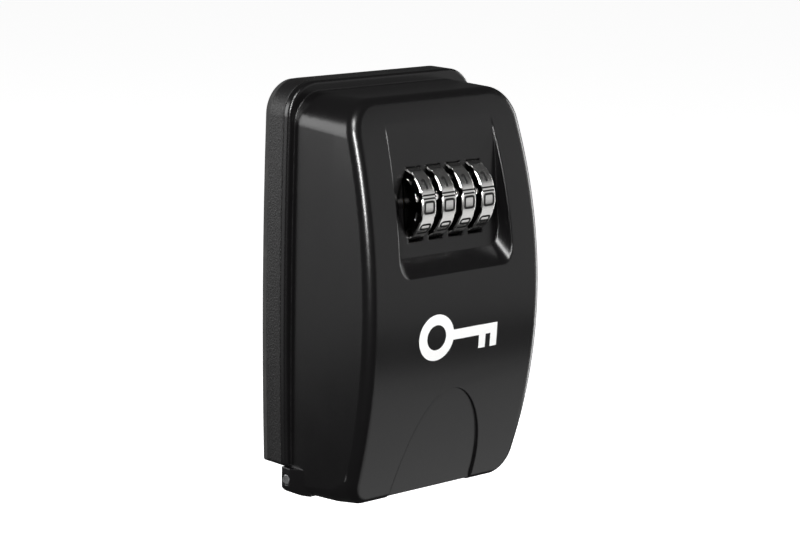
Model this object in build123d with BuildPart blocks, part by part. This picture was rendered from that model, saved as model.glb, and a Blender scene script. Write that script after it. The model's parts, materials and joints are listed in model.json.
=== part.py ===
"""Wall-mounted key lock box with a four-wheel dial lock.

Frame: +X to the right, +Y into the wall, +Z up. The wall is the plane Y = 0 and the
front faces -Y. The origin is the centre of the four wall screw holes. Millimetres.
"""
import os

from build123d import *

# ---------------------------------------------------------------- overall size
TOP_Z = 60.0  # top of tray and of door flange
BOTTOM_Z = -60.4  # flat bottom of the door
TRAY_BOTTOM_Z = -52.7
HALF_WIDTH = 36.6  # tray and flange, at mid height
SIDE_BOW = 1.0  # how much narrower the tray is at its ends
TRAY_CORNER = 10.0
TRAY_FOOT_CORNER = 1.2

# ---------------------------------------------------------------- depth layers
PAD_DEPTH = 1.6
PAD_INSET = 0.4  # how far the pad stays inside the tray's outline
PAD_FOOT_DROP = 0.2  # how far it shows below the tray
TRAY_FRONT = 8.2  # parting plane
DOOR_BACK = 8.5
FLANGE_FRONT = 10.8

# ---------------------------------------------------------------- tray
TRAY_WALL = 2.4
TRAY_BACK = 4.0  # distance of the tray's inner back face from the wall
WALL_HOLE_X = 22.0
WALL_HOLE_Z = 40.0
WALL_HOLE_R = 2.6
SEAL_CENTRE = 1.2  # seal line, inwards from the tray's outside
SEAL_WIDTH = 1.0
SEAL_DEPTH = 1.1
SEAL_PROUD = 0.2

# ---------------------------------------------------------------- door
DOOR_BACK_HALF_WIDTH = 34.4  # where the side walls meet the flange
DOOR_BACK_BOW = 0.7
DOOR_FRONT_HALF_WIDTH = 34.2  # at full depth, at mid height
DOOR_FRONT_BOW = 2.6
DOOR_TOP_Z = 57.0
DOOR_BACK_CORNER = 9.0
DOOR_FRONT_CORNER = 12.0
DOOR_BACK_FOOT_CORNER = 2.0
DOOR_FRONT_FOOT_CORNER = 16.0
DOOR_MIDDLE = 27.0  # depth from which the lower corners get rounder quickly
DOOR_MIDDLE_FOOT_CORNER = 4.6
TIGHTEST_CORNER = 0.4  # inside corners never get sharper than this
DOOR_DEPTH = 44.5  # front at its deepest level
BULGE_Z = -4.9  # height of that deepest level
BULGE_DROP = 12.56  # loss of depth 60 mm above or below it
DOOR_WALL = 2.4
FRONT_ROUND = 3.3
ARCH_HALF_WIDTH = 16.4
ARCH_HEIGHT = 32.5
ARCH_DEPTH = 0.75
FLANGE_ROUND = 0.9

# ---------------------------------------------------------------- hinge
PIN_Y = -10.3
PIN_Z = -56.4
PIN_R = 1.6
PIN_HALF_LENGTH = 35.35
RUNNING = 0.05  # radial running clearance
EAR_INNER_X = 27.0
KNUCKLE_R = 2.9
KNUCKLE_X = 17.0
KNUCKLE_WIDTH = 12.0

# ---------------------------------------------------------------- dial window
WINDOW_HALF_WIDTH = 22.3  # at the door's full depth
WINDOW_SLOPE = 0.19  # how much narrower it gets for each millimetre towards the wall
FLOOR_TOP = (-36.0, 44.8)  # (Y, Z) where the window floor meets the front
FLOOR_FOOT = (-38.96, 11.6)
LEDGE_FOOT = (-44.06, 6.5)
WINDOW_WALL = 2.2
WINDOW_BLEND_R = 45.0  # rounding that runs the floor out into the front
WINDOW_RIM_ROUND = 0.5
WINDOW_CORNER = 4.5  # ends of the ledge
WINDOW_REACH = 14.0  # how far the cutting shape runs on above the floor

# ---------------------------------------------------------------- dial lock
AXLE_Y = -33.0
AXLE_Z = 26.5
AXLE_R = 1.2
DIAL_COUNT = 4
DIAL_PITCH = 7.8
DIAL_R = 11.0
DIAL_WIDTH = 5.4
SLOT_WIDTH = 5.8
SLOT_HALF_HEIGHT = 10.7
SCOOP_WIDTH = 3.5
SCOOP_DEPTH = 1.6
GATE_RELIEF = 2.6
CLIP_RELIEF_R = 2.6
BOSS_WALL = 0.7
DIGITS = 10
HUB_R = 3.2
KEY_R = 3.8
POCKET_DEPTH = 1.2
GATE_R = 3.5
GATE_THICK = 0.8
GATE_START = 2.9  # gate disc's left face, right of the wheel's middle
CODE_SHIFT = 1.2  # sideways travel that frees the wheels
BOLT_TRAVEL = 2.5

# ---------------------------------------------------------------- inside the door
FRAME_HALF_WIDTH = 24.0
FRAME_Z = (8.0, 47.0)
SIDE_FRONT = 34.2  # front edge of the frame's side plates
SIDE_LEFTS = (-19.0, 18.9)
SIDE_HALF_HEIGHT = 11.0
COVER_HALF_WIDTH = 30.6
COVER_Z = (3.0, 49.5)
SHELF_FRONT = 40.5
FRAME_BACK = 17.9  # depth of the mechanism frame's rear face
FRAME_THICK = 1.5
FRAME_LUG_R = 2.8
FRAME_LUGS = [(x, z) for x in (-26.8, 26.8) for z in (13.0, 41.0)]
COVER_BACK = 15.5  # depth of the mechanism cover's rear face
COVER_THICK = 1.5
COVER_LUG_R = 2.6
COVER_LUGS = [(x, z) for x in (-28.5, 28.5) for z in (7.5, 46.5)]
SCREW_R = 1.2
SCREW_GRIP = 6.0
RIVET_R = 1.3

# ---------------------------------------------------------------- lock details
SCOOP_FOOT_R = 5.0
KEY_WIDTH = 1.4
NOTCH_R = 2.1
NOTCH_DEPTH = 0.45
NOTCH_REACH = 5.0
HUB_LEFT = 2.4  # how far the hub sleeve reaches left of the wheel's middle
GATE_WIDTH = 2.0
GATE_DEPTH = 1.0
SPACER_R = 2.4
DIAL_CLEARANCE = 0.35
END_PLAY = 0.05
AXLE_LEFT = -22.0
AXLE_RIGHT = 22.5
CLIP_THICK = 0.6
CLIP_MOUTH = 1.6
SLIDER_THICK = 1.2
CLUTCH_LENGTH = 2.75
CLUTCH_PITCH = 1.1
CLUTCH_COIL_R = 2.2
CLUTCH_WIRE_R = 0.22
BOLT_BACK = FRAME_BACK + FRAME_THICK + 0.3
BOLT_THICK = 1.5
BOLT_FOOT_Z = 36.6
BOLT_TOP_Z = 47.4
NOSE_TOP_Z = 50.7
BOLT_SCREW_X = 11.4
BOLT_SCREW_Z = 44.0
BOLT_HALF_WIDTH = 15.6
BOLT_ARM_Z = 40.0
FINGER_FRONT = 33.8
FINGER_FOOT_Z = AXLE_Z + GATE_R + 0.15
SPRING_X = 22.2
SPRING_SEAT_Z = 32.5
SPRING_PITCH = 1.6
SPRING_COIL_R = 1.3
SPRING_WIRE_R = 0.25
DETENT_SCREW_X = 7.7
DETENT_SCREW_Z = 11.0
DETENT_RIVET_R = 0.8

# ---------------------------------------------------------------- striker and key hook
STRIKER_THICK = 1.5
STRIKER_FOOT_Z = 42.0
STRIKER_Z = 51.0
STRIKER_FRONT = 23.2
STRIKER_HALF_WIDTH = 9.0
STRIKER_BEND = 1.0
STRIKER_RIVETS = [(x, 46.0) for x in (-5.0, 5.0)]
HOOK_THICK = 1.2
HOOK_PLATE = (20.0, 10.0, 1.5)  # width, height, corner
HOOK_PLATE_Z = -8.0
HOOK_RIVETS = [(x, -6.0) for x in (-7.0, 7.0)]
HOOK_HALF_WIDTH = 3.4
HOOK_GAP = 2.0  # between the two prongs
HOOK_FOOT_Z = -12.8
HOOK_TIP_Z = -6.6
HOOK_REACH = 7.8
RIVET_HEAD = 1.0  # overhang of a rivet's head
RIVET_HEAD_THICK = 0.9

# ---------------------------------------------------------------- hinge details
EAR_TOP_Z = -50.0
EAR_DEPTH = 8.0
BACK_LIP_Z = -54.2
BACK_LIP_THICK = 1.6
FOOT_ROUND = 2.0
CHEEK_X = 35.4
CHEEK_DEPTH = 3.6
CHEEK_TAPER = 6.0
CHEEK_ROUND = 2.0

FRONT_SLOPE = 2 * BULGE_DROP * (FLOOR_TOP[1] - BULGE_Z) / 60**2  # of the front above the window
SLOT_EDGE = (DIAL_COUNT - 1) / 2 * DIAL_PITCH + SLOT_WIDTH / 2  # outer edge of the last slot
DIAL_X = [(i - (DIAL_COUNT - 1) / 2) * DIAL_PITCH for i in range(DIAL_COUNT)]
HUB_END = GATE_START + GATE_THICK
CLIP_LEFTS = (
    DIAL_X[0] - HUB_LEFT - END_PLAY - CLIP_THICK,
    DIAL_X[-1] + HUB_END + END_PLAY,
)
FINGER_X = [x + GATE_START for x in DIAL_X]
NAMES = []


def front_depth(z):
    """Depth of the bulged front face at height z."""
    return DOOR_DEPTH - BULGE_DROP * ((z - BULGE_Z) / 60) ** 2


def keep(part, label):
    """Label a finished piece and write its STEP file."""
    part.label = label
    export_step(part, f"parts/{label}.step")
    NAMES.append(label)


def side_plane(x):
    """Plane seen from the left: local x is -Y (towards the front), local y is Z."""
    return Plane(origin=(x, 0, 0), x_dir=(0, -1, 0), z_dir=(-1, 0, 0))


def front_plane(depth):
    """Plane facing the viewer at this depth: local x is X, local y is Z."""
    return Plane(origin=(0, -depth, 0), x_dir=(1, 0, 0), z_dir=(0, -1, 0))


def axle_plane(x):
    """Plane across the dial axle: local x points to the front, local y points down."""
    return Plane(origin=(x, AXLE_Y, AXLE_Z), x_dir=(0, -1, 0), z_dir=(1, 0, 0))


def bowed_outline(half_width, bow, top, foot, top_corner, foot_corner):
    """Upright rounded outline whose sides bulge outwards at mid height."""
    end = half_width - bow
    with BuildSketch() as outline:
        with BuildLine():
            Line((-end, foot), (end, foot))
            ThreePointArc((end, foot), (half_width, (top + foot) / 2), (end, top))
            Line((end, top), (-end, top))
            ThreePointArc((-end, top), (-half_width, (top + foot) / 2), (-end, foot))
        make_face()
        fillet(outline.vertices().group_by(Axis.Y)[-1], top_corner)
        fillet(outline.vertices().group_by(Axis.Y)[0], foot_corner)
    return outline.sketch


def door_body(inset):
    """Bulged door block without its flange, every face moved in by inset."""
    front = DOOR_DEPTH + 1
    part_way = (DOOR_MIDDLE - DOOR_BACK) / (front - DOOR_BACK)
    back_sizes = (DOOR_BACK_HALF_WIDTH, DOOR_BACK_BOW, DOOR_BACK_CORNER)
    front_sizes = (DOOR_FRONT_HALF_WIDTH, DOOR_FRONT_BOW, DOOR_FRONT_CORNER)
    middle_sizes = [b + (f - b) * part_way for b, f in zip(back_sizes, front_sizes)]
    outlines = [
        bowed_outline(
            half_width - inset,
            bow,
            DOOR_TOP_Z - inset,
            BOTTOM_Z + inset,
            corner - inset,
            max(foot_corner - inset, TIGHTEST_CORNER),
        )
        for (half_width, bow, corner), foot_corner in (
            (back_sizes, DOOR_BACK_FOOT_CORNER),
            (middle_sizes, DOOR_MIDDLE_FOOT_CORNER),
            (front_sizes, DOOR_FRONT_FOOT_CORNER),
        )
    ]
    top = DOOR_TOP_Z + 5
    foot = BOTTOM_Z - 5
    with BuildPart() as body:
        for outline, depth in zip(outlines, (DOOR_BACK, DOOR_MIDDLE, front)):
            with BuildSketch(front_plane(depth)):
                add(outline)
        loft(ruled=True)
        with BuildSketch(side_plane(-50)):
            with BuildLine():
                Line((0, foot), (front_depth(foot) - inset, foot))
                ThreePointArc(
                    (front_depth(foot) - inset, foot),
                    (front_depth(BULGE_Z) - inset, BULGE_Z),
                    (front_depth(top) - inset, top),
                )
                Line((front_depth(top) - inset, top), (0, top))
                Line((0, top), (0, foot))
            make_face()
        extrude(amount=-100, mode=Mode.INTERSECT)
    return body


def on_window_rim(edge):
    """True for the edges where the window's side walls and corners meet the front."""
    middle = edge @ 0.5
    beside = WINDOW_HALF_WIDTH - WINDOW_CORNER < abs(middle.X) < WINDOW_HALF_WIDTH + 0.1
    return beside and middle.Z > 0 and abs(-middle.Y - front_depth(middle.Z)) < 0.1


os.makedirs("parts", exist_ok=True)

# ================================================================ rear tray
tray_outline = bowed_outline(
    HALF_WIDTH, SIDE_BOW, TOP_Z, TRAY_BOTTOM_Z, TRAY_CORNER, TRAY_FOOT_CORNER
)
wall_holes = [(x, z) for x in (-WALL_HOLE_X, WALL_HOLE_X) for z in (-WALL_HOLE_Z, WALL_HOLE_Z)]

pad_outline = bowed_outline(
    HALF_WIDTH - PAD_INSET,
    SIDE_BOW,
    TOP_Z - PAD_INSET,
    TRAY_BOTTOM_Z - PAD_FOOT_DROP,
    TRAY_CORNER - PAD_INSET,
    TRAY_FOOT_CORNER,
)
with BuildPart() as back_pad:
    with BuildSketch(front_plane(0)):
        add(pad_outline)
        with Locations(wall_holes):
            Circle(WALL_HOLE_R, mode=Mode.SUBTRACT)
    extrude(amount=PAD_DEPTH)
keep(back_pad.part, "back_pad")

with BuildPart() as rear_case:
    with BuildSketch(front_plane(PAD_DEPTH)):
        add(tray_outline)
    extrude(amount=TRAY_FRONT - PAD_DEPTH)
    chamfer(rear_case.faces().sort_by(Axis.Y)[-1].edges(), 0.5)
    with BuildSketch(front_plane(TRAY_BACK)):
        offset(tray_outline, amount=-TRAY_WALL)
    extrude(amount=TRAY_FRONT, mode=Mode.SUBTRACT)
    with BuildSketch(front_plane(TRAY_FRONT - SEAL_DEPTH)):
        offset(tray_outline, amount=-(SEAL_CENTRE - SEAL_WIDTH / 2))
        offset(tray_outline, amount=-(SEAL_CENTRE + SEAL_WIDTH / 2), mode=Mode.SUBTRACT)
    extrude(amount=SEAL_DEPTH + 1, mode=Mode.SUBTRACT)
    with Locations(front_plane(TRAY_BACK)):
        with Locations(wall_holes):
            CounterSinkHole(WALL_HOLE_R, WALL_HOLE_R + 1.8)
    for x in (-KNUCKLE_X, KNUCKLE_X):
        with BuildSketch(side_plane(x - KNUCKLE_WIDTH / 2)):
            with Locations((-PIN_Y, PIN_Z)):
                Circle(KNUCKLE_R)
            with BuildLine():
                Polyline(
                    (5.6, TRAY_BOTTOM_Z + 0.4),
                    (-PIN_Y - 1.6, PIN_Z - 2.4),
                    (-PIN_Y + 1.6, PIN_Z + 2.4),
                    (TRAY_FRONT, TRAY_BOTTOM_Z + 0.4),
                    close=True,
                )
            make_face()
        extrude(amount=-KNUCKLE_WIDTH)
    with Locations(Plane(origin=(0, PIN_Y, PIN_Z), z_dir=(1, 0, 0))):
        Cylinder(PIN_R + RUNNING, 2 * (KNUCKLE_X + KNUCKLE_WIDTH), mode=Mode.SUBTRACT)
keep(rear_case.part, "rear_case")

with BuildPart() as case_seal:
    with BuildSketch(front_plane(TRAY_FRONT - SEAL_DEPTH)):
        offset(tray_outline, amount=-(SEAL_CENTRE - SEAL_WIDTH / 2))
        offset(tray_outline, amount=-(SEAL_CENTRE + SEAL_WIDTH / 2), mode=Mode.SUBTRACT)
    extrude(amount=SEAL_DEPTH + SEAL_PROUD)
keep(case_seal.part, "case_seal")

# ================================================================ door shell
with BuildPart() as window:
    # U-shaped dial window: sloping floor that runs out into the front at its top,
    # 45 degree ledge at its foot
    with BuildSketch(side_plane(-WINDOW_HALF_WIDTH - 2)) as profile:
        with BuildLine():
            Polyline(
                (-FLOOR_TOP[0], FLOOR_TOP[1]),
                (-FLOOR_FOOT[0], FLOOR_FOOT[1]),
                (-LEDGE_FOOT[0], LEDGE_FOOT[1]),
                (-LEDGE_FOOT[0] + 6, LEDGE_FOOT[1] - 6),
                (-LEDGE_FOOT[0] + 6, FLOOR_TOP[1] + WINDOW_REACH),
                (-FLOOR_TOP[0] - WINDOW_REACH * FRONT_SLOPE, FLOOR_TOP[1] + WINDOW_REACH),
                close=True,
            )
        make_face()
        run_out = profile.vertices().sort_by_distance((-FLOOR_TOP[0], FLOOR_TOP[1]))[0]
        fillet(run_out, WINDOW_BLEND_R)
    extrude(amount=-2 * (WINDOW_HALF_WIDTH + 2))
    # side walls that lean outwards
    foot_half = WINDOW_HALF_WIDTH - WINDOW_SLOPE * DOOR_DEPTH
    with BuildSketch(Plane.XY.offset(LEDGE_FOOT[1] - 10)):
        with BuildLine():
            Polyline(
                (-foot_half, 0),
                (foot_half, 0),
                (foot_half + 2 * WINDOW_SLOPE * DOOR_DEPTH, -2 * DOOR_DEPTH),
                (-foot_half - 2 * WINDOW_SLOPE * DOOR_DEPTH, -2 * DOOR_DEPTH),
                close=True,
            )
        make_face()
    extrude(amount=2 * DOOR_DEPTH, mode=Mode.INTERSECT)
    ledge = window.faces().filter_by(lambda f: f.normal_at().Z < -0.5).sort_by(Axis.Z)[0]
    fillet(ledge.edges().filter_by(lambda e: abs(e.tangent_at(0).X) < 0.5), WINDOW_CORNER)

with BuildPart() as window_backing:
    # what stays solid behind the window when the door is hollowed
    with BuildSketch(side_plane(-WINDOW_HALF_WIDTH - WINDOW_WALL)):
        with BuildLine():
            Polyline(
                (-FLOOR_TOP[0] - 3.2, FLOOR_TOP[1] + 12),
                (-FLOOR_TOP[0] - 2.3, FLOOR_TOP[1]),
                (-FLOOR_FOOT[0] - 2.2, FLOOR_FOOT[1] - 1),
                (-LEDGE_FOOT[0] - 1.6, LEDGE_FOOT[1] - 2.6),
                (-LEDGE_FOOT[0] + 8, LEDGE_FOOT[1] - 12),
                (-LEDGE_FOOT[0] + 8, FLOOR_TOP[1] + 12),
                close=True,
            )
        make_face()
    extrude(amount=-2 * (WINDOW_HALF_WIDTH + WINDOW_WALL))

with BuildPart() as dial_slots:
    # one slot for each wheel, and a finger scoop beside the first and the last
    with BuildSketch(front_plane(AXLE_Z)):
        with Locations([(x, AXLE_Z) for x in DIAL_X]):
            Rectangle(SLOT_WIDTH, 2 * SLOT_HALF_HEIGHT)
    extrude(amount=DOOR_DEPTH)
    for x in DIAL_X:
        with Locations(axle_plane(x)):
            Cylinder(DIAL_R + DIAL_CLEARANCE, SLOT_WIDTH)
    # reliefs behind the ribs for the gate discs and for the axle's clips and spring
    for radius, left, right in (
        (KEY_R + 0.1, -SLOT_EDGE, SLOT_EDGE + GATE_RELIEF),
        (CLIP_RELIEF_R, -SLOT_EDGE - SCOOP_WIDTH, SLOT_EDGE + SCOOP_WIDTH + 1.4),
    ):
        with BuildSketch(axle_plane(left)):
            Circle(radius)
        extrude(amount=right - left)

with BuildPart() as scoops:
    # finger scoops beside the first and the last wheel, closed behind
    for side in (-1, 1):
        with Locations(axle_plane(side * (SLOT_EDGE + SCOOP_WIDTH / 2))):
            Cone(
                SLOT_HALF_HEIGHT if side < 0 else SCOOP_FOOT_R,
                SCOOP_FOOT_R if side < 0 else SLOT_HALF_HEIGHT,
                SCOOP_WIDTH,
                rotation=(0, 180, 0),
            )
    with BuildSketch(side_plane(-WINDOW_HALF_WIDTH)):
        with BuildLine():
            Polyline(
                (-FLOOR_TOP[0] - SCOOP_DEPTH, FLOOR_TOP[1]),
                (-FLOOR_FOOT[0] - SCOOP_DEPTH, FLOOR_FOOT[1]),
                (-FLOOR_FOOT[0] + 8, FLOOR_FOOT[1]),
                (-FLOOR_TOP[0] + 8, FLOOR_TOP[1]),
                close=True,
            )
        make_face()
    extrude(amount=-2 * WINDOW_HALF_WIDTH, mode=Mode.INTERSECT)
    # bosses left standing in the scoops over the axle and over the last gate disc
    for side, radius in ((-1, CLIP_RELIEF_R + BOSS_WALL), (1, KEY_R + 0.1 + BOSS_WALL)):
        with Locations(axle_plane(side * (SLOT_EDGE + SCOOP_WIDTH))):
            Cylinder(radius, 2 * SCOOP_WIDTH, mode=Mode.SUBTRACT)

with BuildPart() as arch:
    # shallow arch-shaped panel pressed into the lower front
    with BuildSketch(front_plane(DOOR_DEPTH - 14)):
        with Locations((0, BOTTOM_Z)):
            Ellipse(ARCH_HALF_WIDTH, ARCH_HEIGHT)
    extrude(amount=15)
    add(door_body(ARCH_DEPTH).part, mode=Mode.SUBTRACT)

with BuildPart() as hollow:
    add(door_body(DOOR_WALL).part)
    add(window_backing.part, mode=Mode.SUBTRACT)

with BuildPart() as ears:
    # blocks inside the lower corners that hold the hinge pin, and the lip between them
    with BuildSketch(side_plane(0)):
        with BuildLine():
            Polyline(
                (DOOR_BACK, BOTTOM_Z),
                (DOOR_BACK, EAR_TOP_Z),
                (DOOR_BACK + 4, EAR_TOP_Z),
                (DOOR_BACK + EAR_DEPTH, BOTTOM_Z + 4),
                (DOOR_BACK + EAR_DEPTH, BOTTOM_Z),
                close=True,
            )
        make_face()
    extrude(amount=HALF_WIDTH, both=True)
    with Locations((0, -DOOR_BACK - EAR_DEPTH / 2, EAR_TOP_Z)):
        Box(2 * EAR_INNER_X, EAR_DEPTH + 1, 2 * (EAR_TOP_Z - BACK_LIP_Z), mode=Mode.SUBTRACT)
    with Locations((0, -DOOR_BACK - EAR_DEPTH / 2 - BACK_LIP_THICK, BOTTOM_Z + DOOR_WALL + 10)):
        Box(2 * EAR_INNER_X, EAR_DEPTH, 20, mode=Mode.SUBTRACT)
    add(door_body(0).part, mode=Mode.INTERSECT)
    for side in (-1, 1):
        # cheeks that stand proud of the side walls round the pin's ends
        with BuildSketch(Plane.XY.offset(BOTTOM_Z)):
            with BuildLine():
                Polyline(
                    (side * EAR_INNER_X, -DOOR_BACK),
                    (side * CHEEK_X, -DOOR_BACK),
                    (side * CHEEK_X, -DOOR_BACK - CHEEK_DEPTH),
                    (side * (CHEEK_X - 2.8), -DOOR_BACK - CHEEK_DEPTH - CHEEK_TAPER),
                    (side * EAR_INNER_X, -DOOR_BACK - CHEEK_DEPTH - CHEEK_TAPER),
                    close=True,
                )
            make_face()
        extrude(amount=TRAY_BOTTOM_Z - BOTTOM_Z - 0.1)
    foot_edges = ears.edges().filter_by(
        lambda e: e.center().Z < BOTTOM_Z + 0.01 and abs(e.center().X) > CHEEK_X - 1.0
    )
    fillet(foot_edges, CHEEK_ROUND)

with BuildPart() as lugs:
    # screw lugs that stand on the inside of the front wall
    for places, radius, depth in (
        (FRAME_LUGS, FRAME_LUG_R, FRAME_BACK + FRAME_THICK),
        (COVER_LUGS, COVER_LUG_R, COVER_BACK + COVER_THICK),
    ):
        with BuildSketch(front_plane(depth)):
            with Locations(places):
                Circle(radius)
        extrude(amount=DOOR_DEPTH - depth)
    add(door_body(1).part, mode=Mode.INTERSECT)

with BuildPart() as foot_round:
    # what the rounding of the door's lower back edge takes away
    with BuildSketch(side_plane(0)):
        with Locations((DOOR_BACK + FOOT_ROUND / 2, BOTTOM_Z + FOOT_ROUND / 2)):
            Rectangle(FOOT_ROUND + 0.2, FOOT_ROUND + 0.2)
        with Locations((DOOR_BACK + FOOT_ROUND, BOTTOM_Z + FOOT_ROUND)):
            Circle(FOOT_ROUND, mode=Mode.SUBTRACT)
            Rectangle(0.3, 0.3, mode=Mode.SUBTRACT)
    extrude(amount=HALF_WIDTH, both=True)

with BuildPart() as flange:
    # thin rim that meets the tray
    with BuildSketch(front_plane(DOOR_BACK)):
        add(tray_outline)
    extrude(amount=FLANGE_FRONT - DOOR_BACK)
    fillet(flange.faces().sort_by(Axis.Y)[0].edges(), FLANGE_ROUND)

with BuildPart() as door_shell:
    add(door_body(0).part)
    fillet(door_shell.faces().sort_by(Axis.Y)[0].edges(), FRONT_ROUND)
    add(flange.part)
    add(hollow.part, mode=Mode.SUBTRACT)
    add(ears.part)
    add(lugs.part)
    add(window.part, mode=Mode.SUBTRACT)
    fillet(door_shell.edges().filter_by(on_window_rim), WINDOW_RIM_ROUND)
    add(dial_slots.part, mode=Mode.SUBTRACT)
    add(scoops.part, mode=Mode.SUBTRACT)
    add(arch.part, mode=Mode.SUBTRACT)
    add(foot_round.part, mode=Mode.SUBTRACT)
    with Locations([(x, -DOOR_BACK - 2.7, BOTTOM_Z + 3) for x in (-KNUCKLE_X, KNUCKLE_X)]):
        Box(KNUCKLE_WIDTH + 0.8, 6, 8, mode=Mode.SUBTRACT)
    with Locations(Plane(origin=(0, PIN_Y, PIN_Z), z_dir=(1, 0, 0))):
        Cylinder(PIN_R, 3 * HALF_WIDTH, mode=Mode.SUBTRACT)
    for places, depth in (
        (FRAME_LUGS, FRAME_BACK + FRAME_THICK),
        (COVER_LUGS, COVER_BACK + COVER_THICK),
    ):
        with BuildSketch(front_plane(depth)):
            with Locations(places):
                Circle(SCREW_R)
        extrude(amount=SCREW_GRIP, mode=Mode.SUBTRACT)
keep(door_shell.part, "door_shell")

with BuildPart() as hinge_pin:
    with Locations(Plane(origin=(0, PIN_Y, PIN_Z), z_dir=(1, 0, 0))):
        Cylinder(PIN_R, 2 * PIN_HALF_LENGTH)
    chamfer(hinge_pin.edges(), 0.25)
keep(hinge_pin.part, "hinge_pin")

# ================================================================ dial wheels and hubs
for i, x in enumerate(DIAL_X):
    with BuildPart() as wheel:
        with BuildSketch(axle_plane(x - DIAL_WIDTH / 2)):
            Circle(DIAL_R)
            Circle(HUB_R + RUNNING, mode=Mode.SUBTRACT)
        extrude(amount=DIAL_WIDTH)
        rims = wheel.edges().filter_by(GeomType.CIRCLE).group_by(SortBy.RADIUS)[-1]
        chamfer(rims, 0.3)
        with BuildSketch(axle_plane(x + DIAL_WIDTH / 2 - POCKET_DEPTH)):
            with PolarLocations(HUB_R, DIGITS):
                Rectangle(2 * (KEY_R + 0.1 - HUB_R), KEY_WIDTH + 0.3)
        extrude(amount=POCKET_DEPTH, mode=Mode.SUBTRACT)
        for side in (-1, 1):
            # finger notches in the rim, half way between the digits
            with Locations(axle_plane(x + side * (DIAL_WIDTH / 2 + NOTCH_R - NOTCH_DEPTH))):
                with PolarLocations(DIAL_R, DIGITS, start_angle=180 / DIGITS):
                    Cylinder(NOTCH_R, NOTCH_REACH, rotation=(0, 90, 0), mode=Mode.SUBTRACT)
    keep(wheel.part, f"dial_wheel_{i + 1}")

    with BuildPart() as hub:
        with BuildSketch(axle_plane(x - HUB_LEFT)):
            Circle(HUB_R)
        extrude(amount=HUB_LEFT + GATE_START)
        with BuildSketch(axle_plane(x + DIAL_WIDTH / 2 - POCKET_DEPTH + 0.15)):
            with Locations((HUB_R, 0)):
                Rectangle(2 * (KEY_R - HUB_R), KEY_WIDTH)
        extrude(amount=POCKET_DEPTH - 0.2)
        with BuildSketch(axle_plane(x + GATE_START)):
            Circle(GATE_R)
            with Locations((0, -GATE_R)):
                Rectangle(GATE_WIDTH, 2 * GATE_DEPTH, mode=Mode.SUBTRACT)
        extrude(amount=GATE_THICK)
        with Locations(axle_plane(x)):
            Cylinder(AXLE_R + RUNNING, 3 * DIAL_PITCH, mode=Mode.SUBTRACT)
    keep(hub.part, f"code_hub_{i + 1}")

# ================================================================ axle group
with BuildPart() as dial_axle:
    with BuildSketch(axle_plane(AXLE_LEFT)):
        Circle(AXLE_R)
    extrude(amount=AXLE_RIGHT - AXLE_LEFT)
    chamfer(dial_axle.edges(), 0.2)
keep(dial_axle.part, "dial_axle")

with BuildPart() as hub_spacers:
    for x in DIAL_X[:-1]:
        with BuildSketch(axle_plane(x + HUB_END + END_PLAY)):
            Circle(SPACER_R)
            Circle(AXLE_R, mode=Mode.SUBTRACT)
        extrude(amount=DIAL_PITCH - HUB_LEFT - HUB_END - 2 * END_PLAY)
keep(hub_spacers.part, "hub_spacers")

with BuildPart() as axle_clips:
    for left in CLIP_LEFTS:
        with BuildSketch(axle_plane(left)):
            Circle(SPACER_R)
            Circle(AXLE_R, mode=Mode.SUBTRACT)
            with Locations((0, SPACER_R)):
                Rectangle(CLIP_MOUTH, 2 * (SPACER_R - CLIP_MOUTH / 2), mode=Mode.SUBTRACT)
        extrude(amount=CLIP_THICK)
keep(axle_clips.part, "axle_clips")

with BuildPart() as clutch_spring:
    with BuildLine() as coil:
        Helix(
            CLUTCH_PITCH,
            CLUTCH_LENGTH - 2 * CLUTCH_WIRE_R,
            CLUTCH_COIL_R,
            center=(CLIP_LEFTS[1] + CLIP_THICK + CLUTCH_WIRE_R + END_PLAY, AXLE_Y, AXLE_Z),
            direction=(1, 0, 0),
        )
    with BuildSketch(Plane(origin=coil.line @ 0, z_dir=coil.line % 0)):
        Circle(CLUTCH_WIRE_R)
    sweep()
keep(clutch_spring.part, "clutch_spring")

with BuildPart() as code_change_slider:
    with BuildSketch(axle_plane(AXLE_LEFT - 0.2)):
        Circle(2.1)
        Circle(AXLE_R, mode=Mode.SUBTRACT)
        with Locations((-10.6, 0)):
            Rectangle(17.8, 2.4)
    extrude(amount=SLIDER_THICK)
    with Locations((AXLE_LEFT - 0.2 + 0.6, -COVER_BACK + 1.3, AXLE_Z)):
        Box(5.0, 2.0, 5.0)
    tab = code_change_slider.faces().sort_by(Axis.Y)[-1]
    chamfer(tab.edges(), 0.5)
keep(code_change_slider.part, "code_change_slider")

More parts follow.
